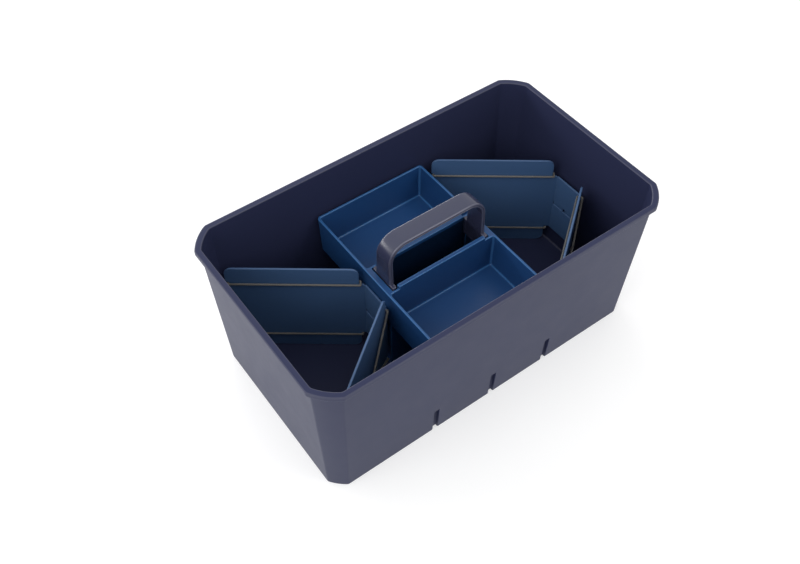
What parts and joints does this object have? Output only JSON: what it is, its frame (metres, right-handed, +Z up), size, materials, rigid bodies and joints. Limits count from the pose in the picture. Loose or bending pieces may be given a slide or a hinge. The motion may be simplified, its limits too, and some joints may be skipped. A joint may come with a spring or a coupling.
{
  "type": "cleaning caddy",
  "caption": "Open tub with cut corners, lift-out tray with a retractable handle, and folding organisers with elastic cords.",
  "frame": {"origin": "centre of the tub's bottom face", "axes": "+X right along the long side, +Y to the back, +Z up"},
  "size_m": [0.4, 0.2314, 0.172],
  "materials": {
    "tub_plastic": "fine satin moulded polypropylene, slate grey-blue",
    "tray_plastic": "satin moulded polypropylene, dark saturated blue",
    "handle_plastic": "satin moulded plastic, dark slate",
    "organiser_plastic": "matt polypropylene sheet, muted steel blue",
    "elastic_cord": "round elastic cord, bronze grey"
  },
  "bodies": {
    "tub": {"tub": "tub_plastic"},
    "tray": {"tray": "tray_plastic"},
    "handle": {"handle": "handle_plastic"},
    "left_organiser": {"left_spine": "organiser_plastic"},
    "left_rear_wing": {"left_rear_wing": "organiser_plastic", "left_rear_cord": "elastic_cord"},
    "left_front_wing": {"left_front_wing": "organiser_plastic", "left_front_cord": "elastic_cord"},
    "right_organiser": {"right_spine": "organiser_plastic"},
    "right_rear_wing": {"right_rear_wing": "organiser_plastic", "right_rear_cord": "elastic_cord"},
    "right_front_wing": {"right_front_wing": "organiser_plastic", "right_front_cord": "elastic_cord"}
  },
  "joints": [
    {"name": "tray_lift", "type": "slide", "parent": "tub", "child": "tray", "axis": [0, 0, 1], "range_m": [0, 0.175]},
    {"name": "handle_slide", "type": "slide", "parent": "tray", "child": "handle", "axis": [0, 0, 1], "range_m": [-0.049, 0]},
    {"name": "left_organiser_lift", "type": "slide", "parent": "tub", "child": "left_organiser", "axis": [0, 0, 1], "range_m": [0, 0.175]},
    {"name": "left_rear_wing_fold", "type": "hinge", "parent": "left_organiser", "child": "left_rear_wing", "pos_m": [-0.0678, 0.0172, 0.063], "axis": [0, 0, 1], "range_deg": [0, 6]},
    {"name": "left_front_wing_fold", "type": "hinge", "parent": "left_organiser", "child": "left_front_wing", "pos_m": [-0.0678, -0.0172, 0.063], "axis": [0, 0, -1], "range_deg": [0, 6]},
    {"name": "right_organiser_lift", "type": "slide", "parent": "tub", "child": "right_organiser", "axis": [0, 0, 1], "range_m": [0, 0.175]},
    {"name": "right_rear_wing_fold", "type": "hinge", "parent": "right_organiser", "child": "right_rear_wing", "pos_m": [0.18378, 0.0172, 0.063], "axis": [0, 0, 1], "range_deg": [0, 6]},
    {"name": "right_front_wing_fold", "type": "hinge", "parent": "right_organiser", "child": "right_front_wing", "pos_m": [0.18378, -0.0172, 0.063], "axis": [0, 0, -1], "range_deg": [0, 6]}
  ]
}
